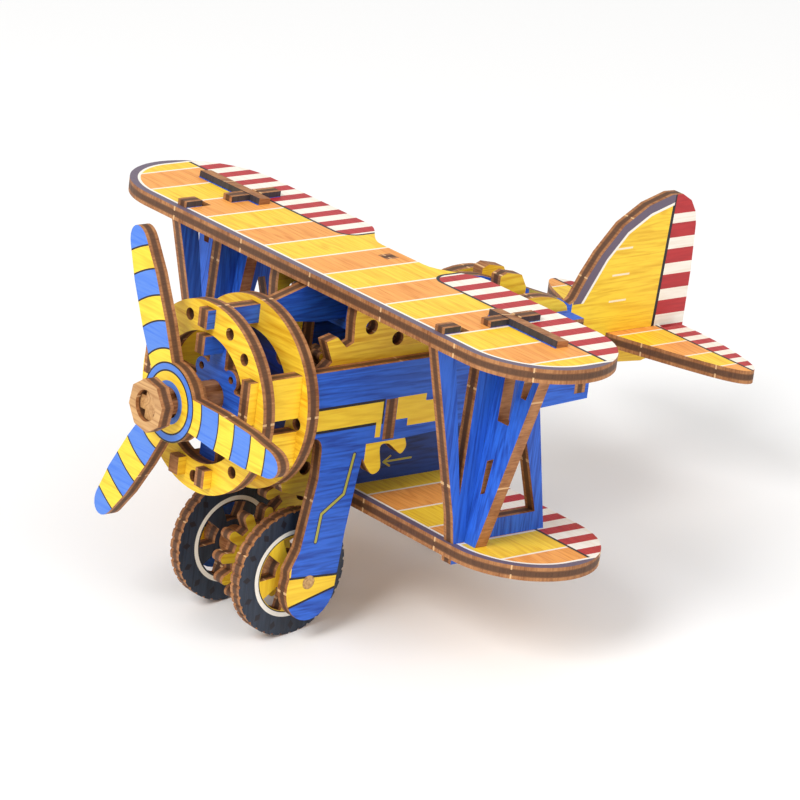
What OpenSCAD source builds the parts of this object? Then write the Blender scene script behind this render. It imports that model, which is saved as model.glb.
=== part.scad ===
// Mechanical biplane scale model, slot-together sheet construction.
// Rolling the wheels turns a gear train that spins the propeller.
// Every part is drawn in rigging coordinates (X to port, Y aft, Z up, wings level),
// then the whole model is stood on its wheels and tail skid, nose raised.

/* [Sheet] */
// Thickness of the sheet every flat part is cut from
ply = 3; // [2.8:0.1:3.2]
// Play on each side of a tab in its slot
slot_play = 0.05; // [0.02:0.01:0.1]
// Radius of the round rods
rod_r = 1.5; // [1.3:0.05:1.6]
// Radial play of a turning rod in its bore
rod_play = 0.06; // [0.03:0.01:0.09]

/* [Wings] */
// Half span of the upper wing
upper_half_span = 71.5; // [70:0.5:76]
// Half span of the lower wing
lower_half_span = 63.8; // [62:0.2:70]
// Height of the upper wing's top face
upper_top_z = 76.8; // [76:0.1:78]
// Height of the lower wing's top face
lower_top_z = 30.5; // [30:0.1:30.6]
// How far the lower wing sits behind the upper wing
stagger = 10.3; // [9:0.1:11]
// Distance of the interplane struts from the centreline
strut_x = 43; // [42:0.5:45]

/* [Engine] */
// Height of the propeller shaft
thrust_z = 51.4; // [51.2:0.05:51.6]
// Outer radius of the engine rings
ring_r = 20.3; // [20:0.1:20.6]
// Inner radius of the engine rings
ring_bore_r = 13.8; // [13.4:0.1:14.2]
// Propeller radius
prop_r = 36.7; // [32:0.1:37]

/* [Undercarriage] */
// Wheel radius
wheel_r = 13.8; // [13.5:0.1:14]
// Distance from the centreline to a wheel's inner face
wheel_x = 8.9; // [8.6:0.05:9.2]
// Nose-up angle of the model standing on its wheels and skid
stand_pitch = 8.6; // [8:0.1:9]

/* [Hidden] */
$fn = 96;
cut_over = 1;

// shaft positions, Y and Z
axle = [-5.9, 14.2];
lay = [4.3, thrust_z];

// gear sizes
gear_module = 1.583;
teeth_axle = 12;
teeth_idler = 16;
teeth_lay_small = 8;
teeth_lay_cross = 13;
teeth_prop = 9;
tooth_w = 2.2;
tooth_add = 1.3;
cross_w = 1.7;
cross_add = 1.2;
tooth_ded = 1.9;

// the idler stands where it meshes with both the axle gear and the small lay gear
axle_to_idler = (teeth_axle + teeth_idler) * gear_module / 2;
lay_to_idler = (teeth_lay_small + teeth_idler) * gear_module / 2;
axle_to_lay = norm(lay - axle);
toward_lay = (lay - axle) / axle_to_lay;
idler_along = (axle_to_idler ^ 2 - lay_to_idler ^ 2 + axle_to_lay ^ 2) / (2 * axle_to_lay);
idler_aside = sqrt(axle_to_idler ^ 2 - idler_along ^ 2);
idler = axle + idler_along * toward_lay + idler_aside * [toward_lay[1], -toward_lay[0]];

// mesh directions and phases at rest
dir_axle_idler = atan2(idler[1] - axle[1], idler[0] - axle[0]);
dir_idler_lay = atan2(lay[1] - idler[1], lay[0] - idler[0]);
idler_phase = dir_axle_idler + 180 + 180 / teeth_idler;
idler_step = 360 / teeth_idler;
idler_lead = (idler_phase - dir_idler_lay) - idler_step * floor((idler_phase - dir_idler_lay) / idler_step);
lay_phase = dir_idler_lay + 180 - idler_lead * teeth_idler / teeth_lay_small + 180 / teeth_lay_small;
cross_x = teeth_prop * gear_module / 2;
cross_y = lay[0] - teeth_lay_cross * gear_module / 2;

// stations along the fuselage, front face of each transverse part
prop_y = -33.8;
ring_front_y = -25.2;
ring_rear_y = -13.8;
bearing_front_y = ring_front_y + ply;
bearing_rear_y = ring_rear_y + ply;
frame_mid_y = 9.4;
frame_aft_y = 38.5;
frame_tail_y = 62;
shaft_r = 3.3;
shaft_front_y = -38.4;
shaft_back_y = -4.3;
nut_y = -39.6;

// stations across the fuselage, inner face of each lengthwise part
side_x = 14.5;
side_top_z = 60.4;
arm_z = 51.4;
cabane_x = 11.5;
belly_x = 6;
cockpit_x = 9;
bracket_x = 2.9;

under_upper_z = upper_top_z - ply;
under_lower_z = lower_top_z - ply;
le_y = -3;
tail_top_z = 52.8;
half = ply / 2;
arm_low_z = 33.6;
tab_proud = 1.3;
arm_proud = 2;
tail_shift = -46.16;

// layout helpers
module stand() {
    translate([0, tail_shift, wheel_r])
        rotate([-stand_pitch, 0, 0])
            translate([0, -axle[0], -axle[1]])
                children();
}

module lengthwise(x, t) {
    translate([x, 0, 0])
        rotate([90, 0, 90])
            linear_extrude(t)
                children();
}

module crosswise(y, t) {
    translate([0, y + t, 0])
        rotate([90, 0, 0])
            linear_extrude(t)
                children();
}

module level(z, t) {
    translate([0, 0, z])
        linear_extrude(t)
            children();
}

module box2(x0, y0, x1, y1) {
    translate([x0, y0])
        square([x1 - x0, y1 - y0]);
}

module slot2(x0, y0, x1, y1) {
    box2(x0 - slot_play, y0 - slot_play, x1 + slot_play, y1 + slot_play);
}

module both_sides() {
    children();
    mirror([1, 0, 0])
        children();
}

module starboard() {
    mirror([1, 0, 0])
        children();
}

module gear2(n, w, add) {
    pitch_r = n * gear_module / 2;
    tip_r = pitch_r + add;
    circle(pitch_r - tooth_ded);
    for (i = [0:n - 1])
        rotate(360 * i / n) {
            box2(0, -w / 2, tip_r - w / 2, w / 2);
            translate([tip_r - w / 2, 0])
                circle(w / 2, $fn = 32);
        }
}

function bow(cx, cy, rx, ry, a0, a1, n) =
    [for (i = [0:n]) let (a = a0 + (a1 - a0) * i / n) [cx + rx * cos(a), cy + ry * sin(a)]];

function s_curve(x0, y0, x1, y1, n) =
    [for (i = [0:n]) let (u = i / n) [x0 + (x1 - x0) * u, y0 + (y1 - y0) * (1 - cos(180 * u)) / 2]];

// a smooth curve through the points, n steps between neighbours
function smooth(p, n) = concat(
    [for (i = [0:len(p) - 2]) for (j = [0:n - 1]) let (
        t = j / n,
        a = p[max(i - 1, 0)],
        b = p[i],
        c = p[i + 1],
        d = p[min(i + 2, len(p) - 1)])
        (2 * b + (c - a) * t + (2 * a - 5 * b + 4 * c - d) * t ^ 2
            + (3 * b - a - 3 * c + d) * t ^ 3) / 2],
    [p[len(p) - 1]]);

// the other half of a symmetrical outline, in the order that closes it
function mirrored(points) =
    [for (i = [len(points) - 1:-1:0]) [-points[i][0], points[i][1]]];

// wings
function wing_half(span, nose, chord, cut_depth, tip_rx = 18) = concat(
    bow(span - tip_rx, nose + chord / 2, tip_rx, chord / 2, -90, 90, 28),
    s_curve(20, nose + chord, 7, nose + chord - cut_depth, 8));

module wing2(span, nose, chord, cut_depth) {
    outline = wing_half(span, nose, chord, cut_depth);
    polygon(concat(outline, mirrored(outline)));
}

// the brace leans aft going up, its centre line in Y at a height
brace_lean = 5.5;
brace_in_x = 38.2;
brace_out_x = 59.3;
function brace_y(z) = 17 - (upper_top_z - z) * tan(brace_lean);

module brace_slot2(z_mid, x0, x1) {
    half_len = half / cos(brace_lean) + half * tan(brace_lean) + slot_play;
    box2(x0 - slot_play, brace_y(z_mid) - half_len, x1 + slot_play, brace_y(z_mid) + half_len);
}

module upper_wing() {
    color("Gold")
        level(under_upper_z, ply)
            difference() {
                wing2(upper_half_span, le_y, 34, 6.7);
                for (m = [0, 1])
                    mirror([m, 0]) {
                        slot2(strut_x - half, -1.4, strut_x + half, 5.2);
                        slot2(strut_x - half, 10.7, strut_x + half, 24);
                        brace_slot2(upper_top_z - half, brace_in_x, brace_out_x);
                    }
                slot2(-half, 18.8, half, 22);
            }
}

module lower_wing() {
    nose = le_y + stagger;
    color("Goldenrod")
        level(under_lower_z, ply)
            difference() {
                wing2(lower_half_span, nose, 34, 2);
                box2(-7.8, nose - cut_over, 7.8, 23);
                for (m = [0, 1])
                    mirror([m, 0]) {
                        slot2(strut_x - half, 8.2, strut_x + half, 13.8);
                        slot2(strut_x - half, 24, strut_x + half, 30);
                        slot2(belly_x, 26, belly_x + ply, 32);
                    }
                slot2(-half, frame_aft_y, half, 45);
            }
}

// interplane strut in a lengthwise plane
module strut_side2() {
    difference() {
        polygon([
            [-1.4, upper_top_z + tab_proud], [2.8, upper_top_z + tab_proud], [2.8, under_upper_z],
            [10.7, under_upper_z], [10.7, upper_top_z + tab_proud], [24, upper_top_z + tab_proud],
            [24, under_upper_z], [32.6, lower_top_z], [30, lower_top_z], [30, under_lower_z],
            [24, under_lower_z], [24, lower_top_z], [13.8, lower_top_z],
            [13.8, under_lower_z - half], [8.2, under_lower_z - half], [8.2, lower_top_z],
            [7.2, lower_top_z + 6], [-2.6, under_upper_z], [-1.4, under_upper_z]]);
        polygon([[2.6, 71.2], [9.4, 71.2], [8.3, 41]]);
        polygon([[20.4, 59], [22.2, 59], [29.6, 34.6], [15.2, 34.6]]);
        intersection() {
            brace_band2();
            box2(-cut_over, brace_split_z, 30, upper_top_z + tab_proud + cut_over);
        }
    }
}

brace_split_z = 52;

module brace_band2() {
    w = half + slot_play;
    translate([brace_y(upper_top_z), upper_top_z])
        rotate(-brace_lean)
            box2(-w, -60, w, 6);
}

module strut_side() {
    color("RoyalBlue")
        lengthwise(strut_x - half, ply)
            strut_side2();
}

// leaning brace crossing the strut, drawn in its own plane
module brace2() {
    rise = (upper_top_z - lower_top_z) / cos(brace_lean);
    split = (upper_top_z - brace_split_z) / cos(brace_lean);
    skin = ply / cos(brace_lean);
    difference() {
        polygon([
            [brace_in_x, tab_proud], [brace_out_x, tab_proud], [brace_out_x, -skin], [57.8, -skin],
            [47.8, -rise - 1], [strut_x - half, -rise - 1], [strut_x - half - 1.5, -rise + 10],
            [brace_in_x, -skin]]);
        box2(strut_x - half - slot_play, -rise - 2, strut_x + half + slot_play, 0.25 - split);
        polygon([[46.4, -5], [51.4, -5], [50.4, -19.6], [47, -19.6]]);
        polygon([[52.4, -8], [55, -8], [53.8, -13], [52.2, -13]]);
        polygon([[46.4, -28.4], [48.2, -27.4], [47.6, -35], [46.4, -35.6]]);
    }
}

module brace() {
    color("MediumBlue")
        difference() {
            translate([0, brace_y(upper_top_z), upper_top_z])
                rotate([90 - brace_lean, 0, 0])
                    translate([0, 0, -half])
                        linear_extrude(ply)
                            brace2();
            translate([0, 0, -cut_over])
                cube([upper_half_span, 60, lower_top_z + cut_over]);
        }
}

// fuselage side with the engine arm, a hooked finger and the landing gear leg
module side2() {
    difference() {
        polygon(concat(
            [[ring_front_y - arm_proud, side_top_z], [ring_front_y - arm_proud, arm_z],
            [bearing_rear_y + 0.1, arm_z]],
            bow(-8.6, 43.1, 2.1, 3, 180, 0, 12),
            [[-6.5, 37.1], [-9.1, 21.6], [-11.3, 17.1]],
            bow(-5.1, 12.9, 6.4, 7.3, 160, 345, 16),
            [[1.9, 20], [2.3, 24.6], [3.7, 34.6], [4.6, 40.2]],
            smooth([[6, 38], [7.8, 36.2], [9.8, 37.3], [9.1, 42], [11.2, 42.5], [13.6, 40.7],
            [15, 39.8], [16.2, 41.3], [15.6, 43.3]], 4),
            [[36, 44.2], [66, 45.5], [66, 57.5], [30, 61], [24, side_top_z]]));
        slot2(frame_mid_y, 43.6, frame_mid_y + ply, 52.4);
        slot2(frame_aft_y, 47, frame_aft_y + ply, 54);
        slot2(frame_tail_y, 47, frame_tail_y + ply, 54);
        translate(axle)
            circle(rod_r + rod_play);
    }
}

module fuselage_side() {
    color("DodgerBlue")
        lengthwise(side_x, ply)
            side2();
}

// inner plate standing on the lower wing
module belly2() {
    polygon([
        [9.5, lower_top_z], [9.5, 38.8], [16.6, 38.8], [16.6, 44], [18, 50], [38.4, 50],
        [38.4, lower_top_z], [32, lower_top_z], [32, under_lower_z], [26, under_lower_z],
        [26, lower_top_z]]);
}

module belly() {
    color("MidnightBlue")
        lengthwise(belly_x, ply)
            belly2();
}

// upper side plate with horn and finger, reaching up to the wing
module cabane2() {
    difference() {
        polygon([
            [-7.5, 47.6], [-7.5, 57], [-6.4, 59], [-3.9, 61.2], [-6, 65.8], [-3.2, 66.5], [-0.6, 64],
            [1.3, 64.8], [1, 69.6], [1.2, under_upper_z], [22.9, under_upper_z],
            [22.9, side_top_z], [9, side_top_z], [9, 47.6]]);
        translate(lay)
            circle(rod_r + rod_play);
        translate([5.6, 67.7])
            circle(1.6);
        translate([13, 64.4])
            circle(1.5);
    }
}

module cabane() {
    color("Yellow")
        lengthwise(cabane_x, ply)
            cabane2();
}

// centre plate under the upper wing
module keel2() {
    difference() {
        polygon([
            [ring_rear_y, 66.7], [ring_rear_y, 70.7], [bearing_rear_y, 70.7], [0, under_upper_z],
            [18.8, under_upper_z], [18.8, upper_top_z], [22, upper_top_z], [22, under_upper_z],
            [25, under_upper_z], [25, 65], [2, 65], [bearing_rear_y, 66.7]]);
        slot2(frame_mid_y, 60, frame_mid_y + ply, 68);
    }
}

module top_keel() {
    color("Blue")
        lengthwise(-half, ply)
            keel2();
}

// engine
module ring2(holes) {
    difference() {
        circle(ring_r);
        circle(ring_bore_r);
        for (a = holes)
            rotate(a)
                translate([17.2, 0])
                    circle(1.3, $fn = 32);
    }
}

module arm_slots2() {
    slot2(-half, 66.7 - thrust_z, half, 70.7 - thrust_z);
    for (m = [0, 1])
        mirror([m, 0]) {
            slot2(side_x, arm_z - thrust_z, side_x + ply, side_top_z - thrust_z);
            slot2(bracket_x, arm_low_z - thrust_z, bracket_x + ply, 37.5 - thrust_z);
        }
}

module star_slot2() {
    slot2(-half, 61.1 - thrust_z, half, 65.1 - thrust_z);
}

module front_ring() {
    color("Gold")
        crosswise(ring_front_y, ply)
            translate([0, thrust_z])
                difference() {
                    ring2([45, 67, 113, 135, 225, 270, 315]);
                    arm_slots2();
                    star_slot2();
                }
}

module rear_ring() {
    color("Gold")
        crosswise(ring_rear_y, ply)
            translate([0, thrust_z])
                difference() {
                    ring2([120, 150, 192, 225, 270, 315, 355]);
                    arm_slots2();
                }
}

// centre arm carried through the rings at the top
module arm_top() {
    color("CornflowerBlue")
        lengthwise(-half, ply)
            box2(ring_front_y - arm_proud, 66.7, ring_rear_y, 70.7);
}

// key that locks the star plate to the front ring
module star_key() {
    color("CornflowerBlue")
        lengthwise(-half, ply)
            box2(ring_front_y - arm_proud, 61.1, bearing_front_y + ply, 65.1);
}

module star2(hub_r, bore_r, arm_r, side_arm_r, arm_w) {
    difference() {
        union() {
            circle(hub_r);
            for (a = [0:90:270])
                rotate(a)
                    box2(0, -arm_w / 2, a % 180 == 0 ? side_arm_r : arm_r, arm_w / 2);
            for (a = [45:90:315])
                rotate(a)
                    translate([hub_r - 0.4, 0])
                        circle(2.2);
        }
        circle(bore_r);
        for (a = [45:90:315])
            rotate(a)
                translate([hub_r, 0])
                    circle(0.8, $fn = 32);
    }
}

module front_bearing() {
    color("RoyalBlue")
        crosswise(bearing_front_y, ply)
            translate([0, thrust_z])
                difference() {
                    star2(7, shaft_r + rod_play, 16.5, 14.4, 5);
                    slot2(-half, 66.7 - thrust_z, half, 70.7 - thrust_z);
                    star_slot2();
                }
}

module rear_bearing() {
    color("MidnightBlue")
        crosswise(bearing_rear_y, ply)
            translate([0, thrust_z])
                difference() {
                    circle(16.4);
                    circle(shaft_r + rod_play);
                    slot2(-half, 64.8 - thrust_z, half, 71 - thrust_z);
                    for (m = [0, 1])
                        mirror([m, 0]) {
                            box2(side_x - slot_play, 38 - thrust_z, 17, 67 - thrust_z);
                            box2(bracket_x - slot_play, arm_low_z - thrust_z,
                                bracket_x + ply + slot_play, 40 - thrust_z);
                        }
                    for (a = [55, 125, 235, 305])
                        rotate(a)
                            translate([11, 0])
                                circle(1.6, $fn = 32);
                }
}

// rim blocks standing between the two rings like cylinders
module spacers_side() {
    lengthwise(side_x, ply)
        box2(bearing_front_y, 41, ring_rear_y, 48.5);
}

module spacers_port() {
    color("Yellow")
        spacers_side();
}

module spacers_starboard() {
    color("Yellow")
        starboard()
            spacers_side();
}

// fuselage frames
module mid_post() {
    color("SteelBlue")
        crosswise(frame_mid_y, ply)
            union() {
                box2(cabane_x + 0.2, 43.6, side_x, side_top_z - 0.2);
                box2(side_x - cut_over, 43.6, side_x + ply, 52.4);
            }
}

module mid_bridge() {
    color("SteelBlue")
        crosswise(frame_mid_y, ply)
            difference() {
                box2(slot_play - cabane_x, 62.6, cabane_x - slot_play, 71.1);
                slot2(-half, 68, half, 72);
            }
}

module aft_frame() {
    color("SteelBlue")
        crosswise(frame_aft_y, ply)
            difference() {
                polygon([
                    [-9, lower_top_z], [9, lower_top_z], [9, 45], [side_x, 47], [side_x + ply, 47],
                    [side_x + ply, 54], [side_x, 54], [side_x, 59.8], [-side_x, 59.8], [-side_x, 54],
                    [-side_x - ply, 54], [-side_x - ply, 47], [-side_x, 47], [-9, 45]]);
                slot2(-half, lower_top_z - cut_over, half, 41);
            }
}

module tail_frame() {
    color("SteelBlue")
        crosswise(frame_tail_y, ply)
            difference() {
                union() {
                    box2(-side_x, 44.4, side_x, 57.4);
                    box2(-side_x - ply, 47, side_x + ply, 54);
                }
                slot2(-half, 42, half, 46);
                slot2(-half, 53, half, 58);
            }
}

// cockpit
module deck() {
    color("SaddleBrown")
        level(61, ply)
            difference() {
                box2(-side_x - ply, 25.4, side_x + ply, 62);
                translate([0, 34])
                    circle(6.5);
                box2(-6.5, 34, 6.5, 40);
                slot2(-half, 41, half, 62 + cut_over);
                for (m = [0, 1])
                    mirror([m, 0])
                        slot2(cockpit_x, 46, cockpit_x + ply, 56);
            }
}

module cockpit_side2() {
    polygon(concat(
        [[42, 64]],
        bow(52, 64, 10, 4, 180, 0, 12),
        [[56, 64], [56, 61], [46, 61], [46, 64]]));
}

module cockpit_side() {
    color("Peru")
        lengthwise(cockpit_x, ply)
            cockpit_side2();
}

module headrest() {
    color("Yellow")
        both_sides()
            lengthwise(half, ply)
                polygon([[48.6, 64], [48.6, 70.6], [50.4, 71.3], [54.6, 70.4], [56.2, 67.6], [56.2, 64]]);
}

module windscreen() {
    color("Peru")
        crosswise(28.4, ply)
            polygon(concat([[-7, 64]], bow(0, 64, 7, 5.5, 180, 0, 12)));
}

// centre plate of the tail with spine, fin and rudder
module tail_plate2() {
    difference() {
        polygon([
            [41.5, 46], [41.5, 70.8], [46, 70.2], [53.9, 67.8], [69.4, 62.4], [72.6, 60.6], [74, 61.4],
            [76.8, 66.4], [80.1, 71.2], [85.7, 77.2], [92.4, 81.1], [98.9, 83], [102, 82.9],
            [104.8, 81.2], [106.4, 78.6], [107.1, 75.6], [107.5, 65], [107.3, 51.5], [106, 47.6],
            [102, 46.4], [96, 45], [88.6, 45.6], [84, 46]]);
        slot2(stab_y, tail_top_z - ply, stab_slot_y, tail_top_z);
        slot2(frame_tail_y, 45, frame_tail_y + ply, 53);
    }
}

module tail_plate() {
    color("Gold")
        lengthwise(-half, ply)
            tail_plate2();
}

stab_y = 84.4;
stab_slot_y = 96;
stabiliser_half = concat(
    smooth([[1, 84.5], [12, 88.2], [22, 91.8], [29, 94.8], [32.6, 97.6], [32.4, 100.2], [28, 102.6],
    [18, 104.8], [9.2, 105.6]], 4),
    [[3.2, 105.6], [3.2, 100]]);

module stabiliser() {
    color("Gold")
        level(tail_top_z - ply, ply)
            difference() {
                polygon(concat(stabiliser_half, mirrored(stabiliser_half)));
                slot2(-half, stab_slot_y, half, 106 + cut_over);
            }
}

// skid: foot height follows from the standing angle
function ground_z(y) = axle[1] - wheel_r / cos(stand_pitch) + (y - axle[0]) * tan(stand_pitch);

module skid() {
    foot_front = 44;
    foot_back = 48.4;
    color("Sienna")
        lengthwise(-half, ply)
            polygon([
                [frame_aft_y, under_lower_z], [frame_aft_y, 41], [frame_aft_y + ply, 41],
                [frame_aft_y + ply, 46], [frame_tail_y + ply, 46], [frame_tail_y + ply, 43.6],
                [52, 37],
                [foot_back + 0.6, ground_z(foot_back) + 3], [foot_back, ground_z(foot_back)],
                [foot_front, ground_z(foot_front)], [foot_front - 0.8, ground_z(foot_front) + 2],
                [43.2, under_lower_z]]);
}

// brackets carrying the idler shaft, with arms reaching forward through both rings
module bracket() {
    color("Khaki")
        both_sides()
            lengthwise(bracket_x, ply)
                difference() {
                    polygon([
                        [ring_front_y - arm_proud, 37.5], [ring_front_y - arm_proud, arm_low_z],
                        [-7, arm_low_z], [-6, 30], [2, 27.6], [10.4, 28.4], [12.4, 33], [10.8, 36.6],
                        [2, 38.9], [-4, 39.2], [-7.6, 37.5]]);
                    translate(idler)
                        circle(rod_r + rod_play);
                    translate([-0.6, 34.6])
                        circle(1.5);
                    translate([-5.6, 33.6])
                        circle(1.1, $fn = 32);
                }
}

// turning parts
module axle_rod() {
    color("BurlyWood")
        lengthwise(-side_x - ply, 2 * (side_x + ply))
            translate(axle)
                circle(rod_r);
}

module axle_gear() {
    color("Yellow")
        lengthwise(-half, ply)
            translate(axle)
                difference() {
                    rotate(dir_axle_idler)
                        gear2(teeth_axle, tooth_w, tooth_add);
                    circle(rod_r);
                }
}

module wheel2() {
    notches = 36;
    difference() {
        circle(wheel_r);
        circle(rod_r);
        for (i = [0:notches - 1])
            rotate(360 * (i + 0.5) / notches)
                translate([wheel_r + 0.1, 0])
                    circle(0.42, $fn = 12);
        for (i = [0:4])
            rotate(72 * i + 20)
                hub_window2();
    }
}

module hub_window2() {
    intersection() {
        difference() {
            circle(8.4);
            circle(4.4);
        }
        polygon([[0, 0], [12, -4.6], [12, 4.6]]);
    }
}

module wheel() {
    color("DimGray")
        lengthwise(wheel_x, ply)
            translate(axle)
                wheel2();
}

module wheel_hubs() {
    gap = side_x - wheel_x - ply - 0.3;
    color("Khaki")
        both_sides()
            lengthwise(wheel_x + ply, gap)
                translate(axle)
                    difference() {
                        circle(3.2);
                        circle(rod_r);
                    }
}

module axle_sleeves() {
    color("BurlyWood")
        both_sides()
            lengthwise(half, wheel_x - half)
                translate(axle)
                    difference() {
                        circle(3.2);
                        circle(rod_r);
                    }
}

module idler_rod() {
    reach = bracket_x + ply + 0.2;
    color("BurlyWood")
        lengthwise(-reach, 2 * reach)
            translate(idler)
                circle(rod_r);
}

module idler_gear() {
    color("Yellow")
        lengthwise(-half, ply)
            translate(idler)
                difference() {
                    rotate(idler_phase)
                        gear2(teeth_idler, tooth_w, tooth_add);
                    circle(rod_r);
                    for (a = [0:60:300])
                        rotate(a)
                            translate([6.4, 0])
                                circle(1.7);
                }
}

module lay_rod() {
    color("BurlyWood")
        lengthwise(-side_x + 0.15, 2 * side_x - 0.3)
            translate(lay)
                circle(rod_r);
}

module lay_gear_small() {
    color("Yellow")
        lengthwise(-half, ply)
            translate(lay)
                difference() {
                    rotate(lay_phase)
                        gear2(teeth_lay_small, tooth_w, tooth_add);
                    circle(rod_r);
                }
}

module lay_gear_cross() {
    color("Yellow")
        lengthwise(cross_x - half, ply)
            translate(lay)
                difference() {
                    rotate(180)
                        gear2(teeth_lay_cross, cross_w, cross_add);
                    circle(rod_r);
                }
}

module prop_gear() {
    color("Yellow")
        crosswise(cross_y - half, ply)
            translate([0, thrust_z])
                difference() {
                    rotate(180 / teeth_prop)
                        gear2(teeth_prop, cross_w, cross_add);
                    circle(shaft_r);
                }
}

module prop_shaft() {
    rib = 2.9;
    color("Peru")
        crosswise(shaft_front_y, shaft_back_y - shaft_front_y)
            translate([0, thrust_z])
                intersection() {
                    circle(shaft_r);
                    union() {
                        square([2 * shaft_r + 1, rib], center = true);
                        square([rib, 2 * shaft_r + 1], center = true);
                    }
                }
}

module prop_collar() {
    color("Khaki")
        crosswise(-30.8, 3.1)
            translate([0, thrust_z])
                difference() {
                    circle(5.2);
                    circle(shaft_r);
                }
}

module blade2() {
    polygon(concat(
        [[0, -3.2], [8, -3.6], [16, -4], [26, -3.8]],
        bow(prop_r - 4, 0, 4, 2.9, -80, 80, 10),
        [[26, 3.8], [16, 4], [8, 3.6], [0, 3.2]]));
}

module propeller() {
    color("Gold")
        crosswise(prop_y, ply)
            translate([0, thrust_z])
                difference() {
                    union() {
                        circle(8.4);
                        for (a = [117, -3, 237])
                            rotate(a)
                                blade2();
                    }
                    circle(shaft_r);
                }
}

module spinner_nut() {
    color("Peru")
        crosswise(nut_y, ply)
            translate([0, thrust_z])
                difference() {
                    rotate(12)
                        circle(5.6, $fn = 8);
                    circle(shaft_r);
                }
}

stand() upper_wing();
stand() lower_wing();
stand() strut_side();  // strut_port
stand() starboard() strut_side();  // strut_starboard
stand() brace();  // brace_port
stand() starboard() brace();  // brace_starboard
stand() fuselage_side();  // side_port
stand() starboard() fuselage_side();  // side_starboard
stand() cabane();  // cabane_port
stand() starboard() cabane();  // cabane_starboard
stand() top_keel();
stand() front_ring();
stand() rear_ring();
stand() arm_top();
stand() star_key();
stand() front_bearing();
stand() rear_bearing();
stand() belly();  // belly_port
stand() starboard() belly();  // belly_starboard
stand() spacers_port();
stand() spacers_starboard();
stand() mid_post();  // mid_post_port
stand() starboard() mid_post();  // mid_post_starboard
stand() mid_bridge();
stand() aft_frame();
stand() tail_frame();
stand() deck();
stand() cockpit_side();  // cockpit_side_port
stand() starboard() cockpit_side();  // cockpit_side_starboard
stand() headrest();
stand() windscreen();
stand() tail_plate();
stand() stabiliser();
stand() skid();
stand() bracket();  // brackets
stand() axle_rod();
stand() axle_gear();
stand() wheel();  // wheel_port
stand() starboard() wheel();  // wheel_starboard
stand() wheel_hubs();
stand() axle_sleeves();
stand() idler_rod();
stand() idler_gear();
stand() lay_rod();
stand() lay_gear_small();
stand() lay_gear_cross();
stand() prop_gear();
stand() prop_shaft();
stand() prop_collar();
stand() propeller();
stand() spinner_nut();
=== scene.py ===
import math

import bpy
from mathutils import Euler, Matrix, Vector

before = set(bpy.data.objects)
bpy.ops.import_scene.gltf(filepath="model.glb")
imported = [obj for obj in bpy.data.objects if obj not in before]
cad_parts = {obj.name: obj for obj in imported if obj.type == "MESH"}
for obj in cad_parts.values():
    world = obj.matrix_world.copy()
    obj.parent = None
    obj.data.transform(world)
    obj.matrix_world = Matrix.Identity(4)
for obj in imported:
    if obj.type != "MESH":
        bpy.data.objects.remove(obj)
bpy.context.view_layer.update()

# ---------------------------------------------------------------- the model's own axes
# The CAD draws every sheet wings level and then stands the model nose up. These undo that, so that
# prints and grain are laid out in millimetres along the model: X to port, Y aft, Z up.
STAND_PITCH = math.radians(8.6)
AXLE_Y, AXLE_Z = -5.9, 14.2
WHEEL_R = 13.8
TAIL_SHIFT = -46.16
PLY = 3.0
UPPER_TOP = 76.8
AMOUNT = 0.95
THRUST_Z = 51.4
LEVEL = Matrix.Rotation(STAND_PITCH, 3, "X")
ORIGIN = Vector((0, AXLE_Y, AXLE_Z)) - LEVEL @ Vector((0, TAIL_SHIFT, WHEEL_R))


# ---------------------------------------------------------------- colours
def srgb(r, g, b):
    """An sRGB colour from 0 to 255 as a linear RGBA."""
    def lin(v):
        v /= 255
        return v / 12.92 if v <= 0.04045 else ((v + 0.055) / 1.055) ** 2.4
    return (lin(r), lin(g), lin(b), 1.0)


YELLOW = srgb(252, 212, 56)
YELLOW_DEEP = srgb(214, 150, 8)
ORANGE = srgb(246, 170, 84)
ORANGE_DEEP = srgb(200, 108, 24)
BLUE = srgb(44, 104, 214)
BLUE_DEEP = srgb(14, 48, 140)
# the sides' blue painted darker, as painted shade on the inboard belly plates
BELLY_BLUE_IN_SHADE = srgb(24, 62, 140)
PROP_BLUE = srgb(86, 132, 216)
NAVY = srgb(16, 32, 72)
NAVY_DEEP = srgb(7, 12, 34)
WHITE = srgb(246, 240, 228)
RED = srgb(186, 44, 48)
RED_DEEP = srgb(140, 26, 34)
TYRE = srgb(46, 56, 72)
TYRE_DEEP = srgb(22, 27, 38)
INK = srgb(30, 26, 34)
# navy print border, painted paler than navy to stand in for the wash of the strong top light: a
# painted highlight
BORDER_LIGHTENED_AS_HIGHLIGHT = srgb(104, 90, 108)
TAB_SIDE = srgb(64, 60, 66)
OLIVE = srgb(176, 170, 70)
BARE = srgb(206, 160, 104)
BARE_DEEP = srgb(160, 108, 60)
ROD = srgb(214, 172, 112)
ROD_DEEP = srgb(150, 104, 58)
VENEER = srgb(182, 126, 78)
VENEER_DEEP = srgb(122, 70, 34)
CORE = srgb(98, 64, 40)
CORE_DEEP = srgb(58, 34, 22)
BRIDGE = srgb(232, 190, 138)


# ---------------------------------------------------------------- node graphs in short words
class Value:
    """One number in a node graph, with arithmetic."""

    def __init__(self, graph, out):
        self.graph, self.out = graph, out

    def _do(self, op, *args):
        return self.graph.math(op, *args)

    def __add__(self, o):
        return self._do("ADD", self, o)

    def __sub__(self, o):
        return self._do("SUBTRACT", self, o)

    def __rsub__(self, o):
        return self._do("SUBTRACT", o, self)

    def __mul__(self, o):
        return self._do("MULTIPLY", self, o)

    def __truediv__(self, o):
        return self._do("DIVIDE", self, o)

    def __gt__(self, o):
        return self._do("GREATER_THAN", self, o)

    def __lt__(self, o):
        return self._do("LESS_THAN", self, o)

    def __and__(self, o):
        return self._do("MULTIPLY", self, o)

    def __or__(self, o):
        return self._do("MAXIMUM", self, o)

    __radd__ = __add__
    __rmul__ = __mul__


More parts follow.
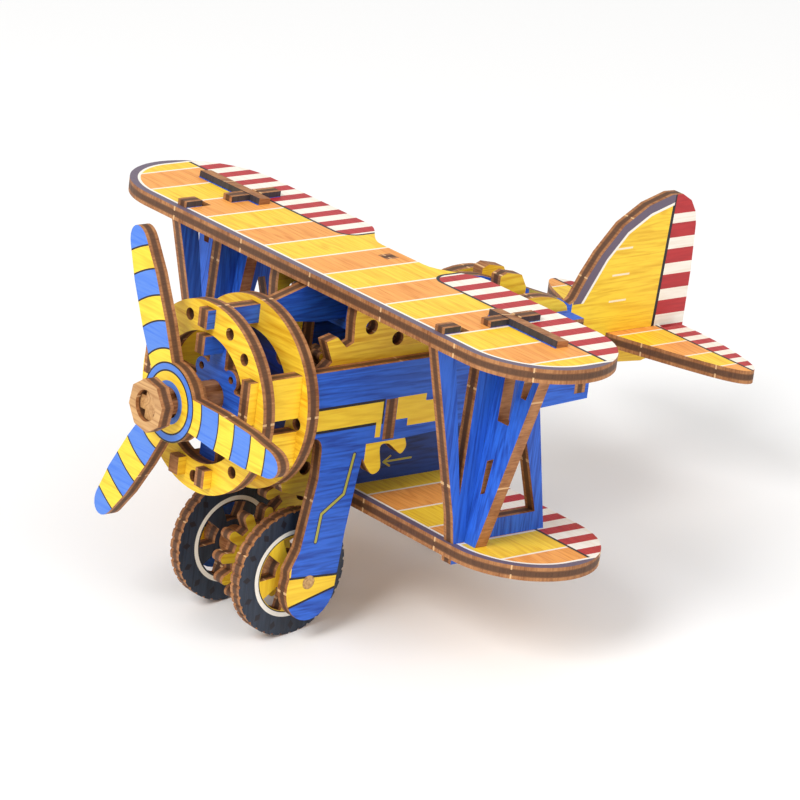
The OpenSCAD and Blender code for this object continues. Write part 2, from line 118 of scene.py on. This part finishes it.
class Graph:
    """A material under construction, with level coordinates X, Y, Z in millimetres."""

    def __init__(self, name):
        self.mat = bpy.data.materials.new(name)
        self.mat.use_nodes = True
        self.tree = self.mat.node_tree
        self.tree.nodes.clear()
        coords = self.node("ShaderNodeTexCoord")
        level = self.node("ShaderNodeMapping", vector_type="POINT")
        level.inputs["Location"].default_value = ORIGIN
        level.inputs["Rotation"].default_value = (STAND_PITCH, 0, 0)
        level.inputs["Scale"].default_value = (1000, 1000, 1000)
        self.link(coords.outputs["Object"], level.inputs["Vector"])
        self.place = level.outputs[0]
        split = self.node("ShaderNodeSeparateXYZ")
        self.link(self.place, split.inputs[0])
        self.x, self.y, self.z = (Value(self, split.outputs[i]) for i in range(3))
        turn = self.node("ShaderNodeVectorRotate", rotation_type="X_AXIS")
        turn.inputs["Angle"].default_value = STAND_PITCH
        self.link(coords.outputs["Normal"], turn.inputs["Vector"])
        facing = self.node("ShaderNodeSeparateXYZ")
        self.link(turn.outputs[0], facing.inputs[0])
        self.facing = [Value(self, facing.outputs[i]) for i in range(3)]

    def node(self, kind, **settings):
        n = self.tree.nodes.new(kind)
        for key, value in settings.items():
            setattr(n, key, value)
        return n

    def link(self, a, b):
        self.tree.links.new(a, b)

    def put(self, socket, value):
        if isinstance(value, Value):
            self.link(value.out, socket)
        elif isinstance(value, bpy.types.NodeSocket):
            self.link(value, socket)
        else:
            socket.default_value = value

    def math(self, op, *args):
        n = self.node("ShaderNodeMath", operation=op)
        for socket, value in zip(n.inputs, args):
            self.put(socket, value)
        return Value(self, n.outputs[0])

    def within(self, v, lo, hi):
        """1 where v is from lo to hi."""
        return self.math("COMPARE", v, (lo + hi) / 2, (hi - lo) / 2)

    def length(self, a, b):
        return self.math("SQRT", a * a + b * b)

    def smooth(self, v, lo, hi):
        n = self.node("ShaderNodeMapRange", clamp=True)
        for socket, value in zip(n.inputs, (v, lo, hi, 0.0, 1.0)):
            self.put(socket, value)
        return Value(self, n.outputs[0])

    def mix(self, fac, a, b):
        n = self.node("ShaderNodeMix", data_type="RGBA")
        self.put(n.inputs[0], fac)
        self.put(n.inputs[6], a)
        self.put(n.inputs[7], b)
        return n.outputs[2]

    def noise(self, scale, stretch=(1, 1, 1), detail=3.0, rough=0.55, distort=0.0):
        """Fractal noise from 0 to 1; stretch gives the cells' sizes along X, Y and Z."""
        m = self.node("ShaderNodeMapping", vector_type="POINT")
        m.inputs["Scale"].default_value = tuple(1 / s for s in stretch)
        self.link(self.place, m.inputs["Vector"])
        n = self.node("ShaderNodeTexNoise")
        n.inputs["Scale"].default_value = scale
        n.inputs["Detail"].default_value = detail
        n.inputs["Roughness"].default_value = rough
        n.inputs["Distortion"].default_value = distort
        self.link(m.outputs[0], n.inputs["Vector"])
        return Value(self, n.outputs[0])

    def segment(self, u, v, a, b):
        """Distance from a straight line between two points of the plane (u, v)."""
        du, dv = b[0] - a[0], b[1] - a[1]
        span = du * du + dv * dv
        t = ((u - a[0]) * (du / span)) + ((v - a[1]) * (dv / span))
        t = self.math("MINIMUM", self.math("MAXIMUM", t, 0.0), 1.0)
        return self.length((u - a[0]) - t * du, (v - a[1]) - t * dv)

    def bands(self, v, lo, hi, stops):
        """A colour by steps of v: stops are (where it starts, colour)."""
        n = self.node("ShaderNodeValToRGB")
        ramp = n.color_ramp
        ramp.interpolation = "CONSTANT"
        while len(ramp.elements) < len(stops):
            ramp.elements.new(0.5)
        for i, (start, colour) in enumerate(stops):
            ramp.elements[i].position = (start - lo) / (hi - lo)
            ramp.elements[i].color = colour
        self.link(((v - lo) / (hi - lo)).out, n.inputs[0])
        return n.outputs[0]


# ---------------------------------------------------------------- plywood
STRETCH = {"x": (14, 1, 1), "y": (1, 14, 1), "z": (1, 1, 14)}


class Sheet(Graph):
    """Plywood of one sheet. axis is its thickness direction, grain the way its face veneer runs."""

    def __init__(self, name, axis, start, grain):
        super().__init__(name)
        self.axis, self.start = "xyz".index(axis), start
        self.figure = self.noise(0.16, STRETCH[grain], 2.0, 0.5, 0.6)
        self.streak = self.noise(1.9, STRETCH[grain], 3.0, 0.6)
        waves = self.math("SINE", self.figure * 62.0 + self.streak * 2.0)
        self.waves = self.smooth(waves, -0.2, 1.0)

    def tinted(self, light, deep, amount=0.6):
        """A printed ink over the veneer: the wood's figure shows through as a deeper tone."""
        shade = self.smooth(self.streak, 0.42, 0.72) * 0.55 + self.waves * 0.45
        return self.mix(shade * amount, light, deep)

    def edge(self):
        """The laser-cut edge: two veneers and a darker core, charred here and there."""
        along = [1.0, 1.0, 1.0]
        along[self.axis] = 9.0
        burn = self.noise(0.22, (1, 1, 1), 3.0)
        teeth = self.noise(2.4, tuple(along), 2.0)
        depth = (self.x, self.y, self.z)[self.axis] - self.start
        inside = self.math("ABSOLUTE", depth - PLY / 2)
        core = self.smooth(inside + (teeth - 0.5) * 0.3, 0.72, 0.5)
        veneer = self.mix(self.smooth(teeth * 0.6 + burn * 0.6, 0.45, 0.8), VENEER, VENEER_DEEP)
        dark = self.mix(self.smooth(teeth, 0.35, 0.7) * 0.5, CORE, CORE_DEEP)
        layers = self.mix(core, veneer, dark)
        glue = self.within(inside, 0.6, 0.74)
        layers = self.mix(glue * 0.5, layers, CORE_DEEP)
        plane = [v for i, v in enumerate((self.x, self.y, self.z)) if i != self.axis]
        place = plane[0] * 0.043 + plane[1] * 0.041
        tick = self.math("FRACT", place) < 0.02
        return self.mix(tick * (inside > 0.5) * 0.75, layers, BRIDGE)

    def finish(self, print_colour, back_colour=None):
        """Joins print and edge into a shader. back_colour covers the face that looks down the axis."""
        n = self.facing[self.axis]
        face = self.math("ABSOLUTE", n) > 0.8
        if back_colour is not None:
            print_colour = self.mix(n < 0.0, print_colour, back_colour)
        colour = self.mix(face, self.edge(), print_colour)
        bsdf = self.node("ShaderNodeBsdfPrincipled")
        self.put(bsdf.inputs["Base Color"], colour)
        rough = self.math("MULTIPLY_ADD", self.streak, 0.25, 0.48)
        self.put(bsdf.inputs["Roughness"], rough - face * 0.12)
        bsdf.inputs["Specular IOR Level"].default_value = 0.4
        bump = self.node("ShaderNodeBump")
        bump.inputs["Strength"].default_value = 0.35
        bump.inputs["Distance"].default_value = 0.00006
        self.put(bump.inputs["Height"], self.streak + self.waves * 0.25)
        self.link(bump.outputs[0], bsdf.inputs["Normal"])
        out = self.node("ShaderNodeOutputMaterial")
        self.link(bsdf.outputs[0], out.inputs["Surface"])
        return self.mat


# ---------------------------------------------------------------- prints
# the rounding of a wing tip, across the span and along the chord
TIP_RX, TIP_RY = 18.0, 17.0
# the rudder hinge in Y and Z, and the spacing of the rudder bars
HINGE_FOOT, HINGE_TOP = (98.2, 54.1), (99.9, 82.5)
RUDDER_BAR = 5.9


def strips(s, aileron_y, nose_y, half_span):
    """A wing's upper face: chordwise strips, nose border, white line and barred ailerons."""
    across = s.math("ABSOLUTE", s.x)
    index = s.math("FLOOR", (across + 5.0) / 10.0)
    odd = s.math("MODULO", index, 2.0)
    colour = s.mix(odd, s.tinted(ORANGE, ORANGE_DEEP, 0.7), s.tinted(YELLOW, YELLOW_DEEP, 0.7))
    gap = s.math("PINGPONG", across + 5.0, 5.0)
    colour = s.mix((gap < 0.3) * 0.85, colour, WHITE)
    # barred ailerons
    inboard = s.math("MAXIMUM", 18.0 - across, 0.0)
    forward = s.math("MAXIMUM", aileron_y + 4.0 - s.y, 0.0)
    corner = s.length(inboard, forward)
    bar = s.math("MODULO", across, 6.0) > 3.0
    bars = s.mix(bar, s.tinted(WHITE, BARE, 0.25), s.tinted(RED, RED_DEEP, 0.5))
    colour = s.mix(corner < 4.0, colour, bars)
    colour = s.mix(s.within(corner, 3.7, 4.4), colour, INK)
    # nose border, round the tips as well; its navy is painted paler, a painted highlight
    dx = s.math("MAXIMUM", across - (half_span - TIP_RX), 0.0) / TIP_RX
    dy = s.math("MAXIMUM", nose_y + TIP_RY - s.y, 0.0) / TIP_RY
    inside = (1.0 - s.length(dx, dy)) * TIP_RY
    colour = s.mix(inside < 2.3, colour, WHITE)
    return s.mix(inside < 1.7, colour, BORDER_LIGHTENED_AS_HIGHLIGHT)


def wing(name, start, aileron_y, nose_y, half_span):
    s = Sheet(name, "z", start, "x")
    return s.finish(strips(s, aileron_y, nose_y, half_span), s.tinted(BARE, BARE_DEEP, 0.6))


def plain(name, axis, start, grain, light, deep, amount=0.75):
    s = Sheet(name, axis, start, grain)
    return s.finish(s.tinted(light, deep, amount))


def strut_print(name, axis, start, grain):
    """Blue sheet whose tabs, where they stand proud of the upper wing, are stained dark."""
    s = Sheet(name, axis, start, grain)
    tab = s.tinted(TAB_SIDE, INK, 0.6)
    return s.finish(s.mix(s.z > UPPER_TOP + 0.1, s.tinted(BLUE, BLUE_DEEP, AMOUNT), tab))


def stabiliser_print(name, start):
    s = Sheet(name, "z", start, "x")
    across = s.math("ABSOLUTE", s.x)
    odd = s.math("MODULO", s.math("FLOOR", (across + 4.0) / 8.0), 2.0)
    colour = s.mix(odd, s.tinted(ORANGE, ORANGE_DEEP, 0.7), s.tinted(YELLOW, YELLOW_DEEP, 0.7))
    colour = s.mix((s.math("PINGPONG", across + 4.0, 4.0) < 0.25) * 0.8, colour, WHITE)
    bar = s.math("MODULO", across, 5.0) > 2.5
    bars = s.mix(bar, s.tinted(WHITE, BARE, 0.25), s.tinted(RED, RED_DEEP, 0.5))
    colour = s.mix(s.y > 99.5, colour, bars)
    colour = s.mix(s.within(s.y, 98.9, 99.5), colour, INK)
    return s.finish(colour, s.tinted(BARE, BARE_DEEP, 0.6))


def tail_print(name, start):
    s = Sheet(name, "x", start, "y")
    colour = s.tinted(YELLOW, YELLOW_DEEP, 0.7)
    ticks = (s.math("PINGPONG", s.z, 3.0) < 0.22) * s.within(s.y, 84.0, 89.0) * (s.z > 58.0)
    colour = s.mix(ticks * 0.7, colour, WHITE)
    bar = s.math("MODULO", s.z + 0.4, RUDDER_BAR) > 2.6
    bars = s.mix(bar | (s.z > 78.5), s.tinted(WHITE, BARE, 0.25), s.tinted(RED, RED_DEEP, 0.5))
    slope = (HINGE_TOP[0] - HINGE_FOOT[0]) / (HINGE_TOP[1] - HINGE_FOOT[1])
    hinge = s.y - HINGE_FOOT[0] - (s.z - HINGE_FOOT[1]) * slope
    colour = s.mix(hinge > 0.0, colour, bars)
    colour = s.mix(s.within(hinge, -0.4, 0.4), colour, INK)
    # leading edge of the fin, its navy border painted paler as a painted highlight
    fin = (s.y > 73.5) * (hinge < 0.0) * (s.z > 60.5)
    lead = s.math("MINIMUM", s.segment(s.y, s.z, (74.0, 61.4), (80.1, 71.2)),
                  s.segment(s.y, s.z, (80.1, 71.2), (85.7, 77.2)))
    lead = s.math("MINIMUM", lead, s.segment(s.y, s.z, (85.7, 77.2), (92.4, 81.1)))
    lead = s.math("MINIMUM", lead, s.segment(s.y, s.z, (92.4, 81.1), (98.9, 83.0)))
    colour = s.mix((lead < 2.6) * fin, colour, WHITE)
    colour = s.mix((lead < 2.0) * fin, colour, BORDER_LIGHTENED_AS_HIGHLIGHT)
    # spine
    spine = (s.y < 73.2) * (s.z > 44.0)
    colour = s.mix(spine, colour, s.tinted(BLUE, BLUE_DEEP))
    stripe = s.within(s.y, 60.0, 68.5) * s.within(s.z + (s.y - 60.0) * 0.33, 64.2, 66.8)
    return s.finish(s.mix(stripe, colour, s.tinted(OLIVE, YELLOW_DEEP)))


# the line printed down the landing gear leg, in Y and Z
LEG_LINE = [(2.4, 41.3), (0.8, 32.8), (-4.6, 29.1), (-5.3, 23.1)]


def side_print(name, start):
    s = Sheet(name, "x", start, "y")
    blue, yellow = s.tinted(BLUE, BLUE_DEEP, 0.9), s.tinted(YELLOW, YELLOW_DEEP, 0.5)
    y, z = s.y + 2.1, s.z - 1.1
    ink = s.within(z, 46.0, 51.6) * s.within(y, -10.0, 11.2)
    band = s.within(z, 46.6, 51.0) * s.within(y, -9.4, 10.8)
    post = s.within(y, 9.4, 10.8) * s.within(z, 43.2, 51.0)
    block = s.within(y, 14.6, 22.3) * s.within(z, 46.5, 51.4)
    block = block | (s.within(y, 17.8, 26.0) * s.within(z, 44.8, 49.8))
    hook = s.within(s.y, 5.2, 17.0) * s.within(s.z, 35.0, 43.2)
    colour = s.mix(ink, blue, INK)
    colour = s.mix(band | post | block | hook | (s.y < -10.8), colour, yellow)
    # leg: a bent line, and a teardrop with a band behind it across the wheel cover
    line = s.segment(s.y, s.z, LEG_LINE[0], LEG_LINE[1])
    for a, b in zip(LEG_LINE[1:], LEG_LINE[2:]):
        line = s.math("MINIMUM", line, s.segment(s.y, s.z, a, b))
    colour = s.mix(line < 0.55, colour, s.mix(0.5, INK, BLUE_DEEP))
    colour = s.mix(line < 0.32, colour, OLIVE)
    cover = (s.z < 20.0) * (s.y < 6.0)
    reach = s.smooth(s.y, -11.0, 1.0)
    half_band = 3.1 - reach * 1.9
    off = s.math("ABSOLUTE", s.z - 12.9 - (s.y + 5.1) * 0.1)
    colour = s.mix((off < half_band + 0.5) * cover, colour, INK)
    colour = s.mix((off < half_band) * cover, colour, yellow)
    return s.finish(colour)


def belly_print_in_shade(name, start):
    # Painted shade: the plate's blue is a darker copy of the sides' blue, tinted far towards navy, and
    # the arrow's yellow print is drawn olive, darker, as the same painted shade.
    s = Sheet(name, "x", start, "y")
    arrow = s.segment(s.y, s.z, (25.6, 34.5), (18.0, 34.5))
    for side in (-1.1, 1.1):
        arrow = s.math("MINIMUM", arrow, s.segment(s.y, s.z, (19.8, 34.5 + side), (18.0, 34.5)))
    return s.finish(s.mix(arrow < 0.22, s.tinted(BELLY_BLUE_IN_SHADE, NAVY, 0.9), s.tinted(OLIVE, YELLOW_DEEP)))


# dots printed round the tyre, and the radius they lie on
TREAD_DOTS, DOT_R = 15, 11.8


def wheel_print(name, start, outward):
    s = Sheet(name, "x", start, "z")
    r = s.length(s.y - AXLE_Y, s.z - AXLE_Z)
    tyre = s.tinted(TYRE, TYRE_DEEP, 0.8)
    angle = s.math("ARCTAN2", s.z - AXLE_Z, s.y - AXLE_Y)
    lug = s.math("PINGPONG", angle * (TREAD_DOTS / (2 * math.pi)), 0.5)
    across, along = (lug - 0.5) * (2 * math.pi * DOT_R / TREAD_DOTS), r - DOT_R
    lozenge = s.math("ABSOLUTE", across) + s.math("ABSOLUTE", along) * 0.7 < 0.75
    colour = s.mix(lozenge, tyre, INK)
    colour = s.mix(r < 9.7, colour, WHITE)
    colour = s.mix(r < 8.75, colour, INK)
    outer = s.mix(r < 8.5, colour, s.tinted(YELLOW, YELLOW_DEEP, 0.6))
    inner = s.mix(r < 8.5, colour, s.tinted(TYRE, TYRE_DEEP, 0.8))
    return s.finish(outer, inner) if outward > 0 else s.finish(inner, outer)


def propeller_print(name, start):
    s = Sheet(name, "y", start, "x")
    r = s.length(s.x, s.z - THRUST_Z)
    blue, yellow = s.tinted(PROP_BLUE, BLUE, 0.7), s.tinted(YELLOW, YELLOW_DEEP, 0.6)
    inked = s.bands(r, 0.0, 40.0, [
        (0.0, (0, 0, 0, 1)), (4.4, (1, 1, 1, 1)), (6.6, (0, 0, 0, 1)), (8.2, (1, 1, 1, 1)),
        (11.1, (0, 0, 0, 1)), (16.7, (1, 1, 1, 1)), (21.9, (0, 0, 0, 1)), (27.3, (1, 1, 1, 1)),
        (32.2, (0, 0, 0, 1))])
    colour = s.mix(inked, blue, yellow)
    for edge in (6.6, 8.2, 11.1, 16.7, 21.9, 27.3, 32.2):
        colour = s.mix(s.within(r, edge - 0.18, edge + 0.18), colour, INK)
    return s.finish(colour)


def rod(name, axis):
    g = Sheet(name, axis, -50.0, axis)
    colour = g.mix(g.smooth(g.streak, 0.35, 0.75), ROD, ROD_DEEP)
    g.edge = lambda: colour
    return g.finish(colour)


# ---------------------------------------------------------------- which sheet each node is
STRUT_X, SIDE_X, CABANE_X, BRACKET_X, WHEEL_X = 41.5, 14.5, 11.5, 2.9, 8.9
COCKPIT_X, BELLY_X, MID_Y = 9.0, 6.0, 9.4
NUT_Y, SHAFT_Y = -39.6, -38.4
RING_FRONT, RING_REAR, PROP_Y = -25.2, -13.8, -33.8
CROSS_X = 9 * 1.583 / 2
CROSS_Y = 4.3 - 13 * 1.583 / 2
LOOKS = {
    "upper_wing": wing("wing_upper_print", 73.8, 20.2, -3.0, 71.5),
    "lower_wing": wing("wing_lower_print", 27.5, 30.5, 7.3, 63.8),
    "stabiliser": stabiliser_print("stabiliser_print", 49.8),
    "tail_plate": tail_print("tail_print", -1.5),
    "side_port": side_print("side_port_print", SIDE_X),
    "side_starboard": side_print("side_starboard_print", -SIDE_X - PLY),
    "wheel_port": wheel_print("wheel_port_print", WHEEL_X, 1),
    "belly_port": belly_print_in_shade("belly_port_print", BELLY_X),
    "belly_starboard": belly_print_in_shade("belly_starboard_print", -BELLY_X - PLY),
    "wheel_starboard": wheel_print("wheel_starboard_print", -WHEEL_X - PLY, -1),
    "propeller": propeller_print("propeller_bars", PROP_Y),
    "strut_port": strut_print("strut_port_print", "x", STRUT_X, "z"),
    "strut_starboard": strut_print("strut_starboard_print", "x", -STRUT_X - PLY, "z"),
    "brace_port": strut_print("brace_port_print", "y", 0.0, "z"),
    "brace_starboard": strut_print("brace_starboard_print", "y", 0.0, "z"),
    "axle_rod": rod("axle_wood", "x"),
    "idler_rod": rod("idler_wood", "x"),
    "lay_rod": rod("lay_wood", "x"),
}
PLAIN = [
    # node, thickness axis, where the sheet starts, grain, light, deep
    ("cabane_port", "x", CABANE_X, "y", YELLOW, YELLOW_DEEP),
    ("cabane_starboard", "x", -CABANE_X - PLY, "y", YELLOW, YELLOW_DEEP),
    ("top_keel", "x", -1.5, "y", BLUE, BLUE_DEEP),
    ("front_ring", "y", RING_FRONT, "x", YELLOW, YELLOW_DEEP),
    ("rear_ring", "y", RING_REAR, "x", YELLOW, YELLOW_DEEP),
    ("arm_top", "x", -1.5, "y", BLUE, BLUE_DEEP),
    ("star_key", "x", -1.5, "y", BLUE, BLUE_DEEP),
    ("front_bearing", "y", RING_FRONT + PLY, "x", BLUE, BLUE_DEEP),
    ("rear_bearing", "y", RING_REAR + PLY, "x", BLUE_DEEP, NAVY),
    ("spacers_port", "x", SIDE_X, "y", YELLOW, YELLOW_DEEP),
    ("spacers_starboard", "x", -SIDE_X - PLY, "y", YELLOW, YELLOW_DEEP),
    ("mid_post_port", "y", MID_Y, "z", BLUE, BLUE_DEEP),
    ("mid_post_starboard", "y", MID_Y, "z", BLUE, BLUE_DEEP),
    ("mid_bridge", "y", MID_Y, "x", BLUE, BLUE_DEEP),
    ("aft_frame", "y", 38.5, "x", BLUE, BLUE_DEEP),
    ("tail_frame", "y", 62.0, "x", BLUE, BLUE_DEEP),
    ("deck", "z", 61.0, "y", BLUE, BLUE_DEEP),
    ("cockpit_side_port", "x", COCKPIT_X, "y", YELLOW, YELLOW_DEEP),
    ("cockpit_side_starboard", "x", -COCKPIT_X - PLY, "y", YELLOW, YELLOW_DEEP),
    ("headrest", "x", 1.5, "y", YELLOW, YELLOW_DEEP),
    ("windscreen", "y", 28.4, "x", BLUE, BLUE_DEEP),
    ("skid", "x", -1.5, "y", BARE, BARE_DEEP),
    ("brackets", "x", BRACKET_X, "y", YELLOW, YELLOW_DEEP),
    ("axle_gear", "x", -1.5, "y", YELLOW, YELLOW_DEEP),
    ("wheel_hubs", "x", WHEEL_X + PLY, "y", BARE, BARE_DEEP),
    ("axle_sleeves", "x", 1.5, "y", BARE, BARE_DEEP),
    ("idler_gear", "x", -1.5, "y", YELLOW, YELLOW_DEEP),
    ("lay_gear_small", "x", -1.5, "y", YELLOW, YELLOW_DEEP),
    ("lay_gear_cross", "x", CROSS_X - PLY / 2, "y", YELLOW, YELLOW_DEEP),
    ("prop_gear", "y", CROSS_Y - PLY / 2, "x", YELLOW, YELLOW_DEEP),
    ("prop_shaft", "y", SHAFT_Y, "y", BARE, BARE_DEEP),
    ("prop_collar", "y", -30.8, "x", BARE, BARE_DEEP),
    ("spinner_nut", "y", NUT_Y, "x", BARE, BARE_DEEP),
]
for node, axis, start, grain, light, deep in PLAIN:
    LOOKS[node] = plain(node + "_ply", axis, start, grain, light, deep, AMOUNT)

for node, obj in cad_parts.items():
    obj.data.materials.clear()
    obj.data.materials.append(LOOKS[node])

# ---------------------------------------------------------------- floor, light, camera
scene = bpy.context.scene
scene.view_settings.view_transform = "Standard"
scene.view_settings.look = "None"

floor_mesh = bpy.data.meshes.new("floor")
# half the width of the floor, in metres
half = 3.0
corners = [(-half, -half, 0), (half, -half, 0), (half, half, 0), (-half, half, 0)]
floor_mesh.from_pydata(corners, [], [(0, 1, 2, 3)])
floor = bpy.data.objects.new("floor", floor_mesh)
scene.collection.objects.link(floor)
floor_mat = bpy.data.materials.new("floor")
floor_mat.use_nodes = True
bsdf = floor_mat.node_tree.nodes["Principled BSDF"]
bsdf.inputs["Base Color"].default_value = (0.92, 0.92, 0.92, 1)
bsdf.inputs["Roughness"].default_value = 0.9
bsdf.inputs["Specular IOR Level"].default_value = 0.1
floor_mesh.materials.append(floor_mat)

world = bpy.data.worlds.new("studio")
scene.world = world
world.use_nodes = True
sky = world.node_tree.nodes["Background"]
sky.inputs["Color"].default_value = (1.0, 0.995, 0.985, 1)
sky.inputs["Strength"].default_value = 0.75


def softbox(name, place, target, size, watts, colour=(1, 1, 1)):
    light = bpy.data.lights.new(name, "AREA")
    light.shape = "DISK"
    light.size = size
    light.energy = watts
    light.color = colour
    lamp = bpy.data.objects.new(name, light)
    lamp.location = place
    aim = Vector(target) - Vector(place)
    lamp.rotation_euler = aim.to_track_quat("-Z", "Y").to_euler()
    scene.collection.objects.link(lamp)


softbox("key", (0.15, -0.75, 0.85), (0, 0, 0.04), 0.55, 7.5)
softbox("fill", (0.95, 0.1, 0.75), (0, 0, 0.04), 0.7, 3.0)

camera_data = bpy.data.cameras.new("camera")
camera = bpy.data.objects.new("camera", camera_data)
scene.collection.objects.link(camera)
camera.location = (0.71083, -0.58235, 0.45304)
camera.rotation_euler = Euler((math.radians(90 - 24.421), 0, math.radians(51.047)), "XYZ")
camera_data.sensor_width = 36
camera_data.lens = 213.33
camera_data.clip_start, camera_data.clip_end = 0.05, 20
scene.camera = camera
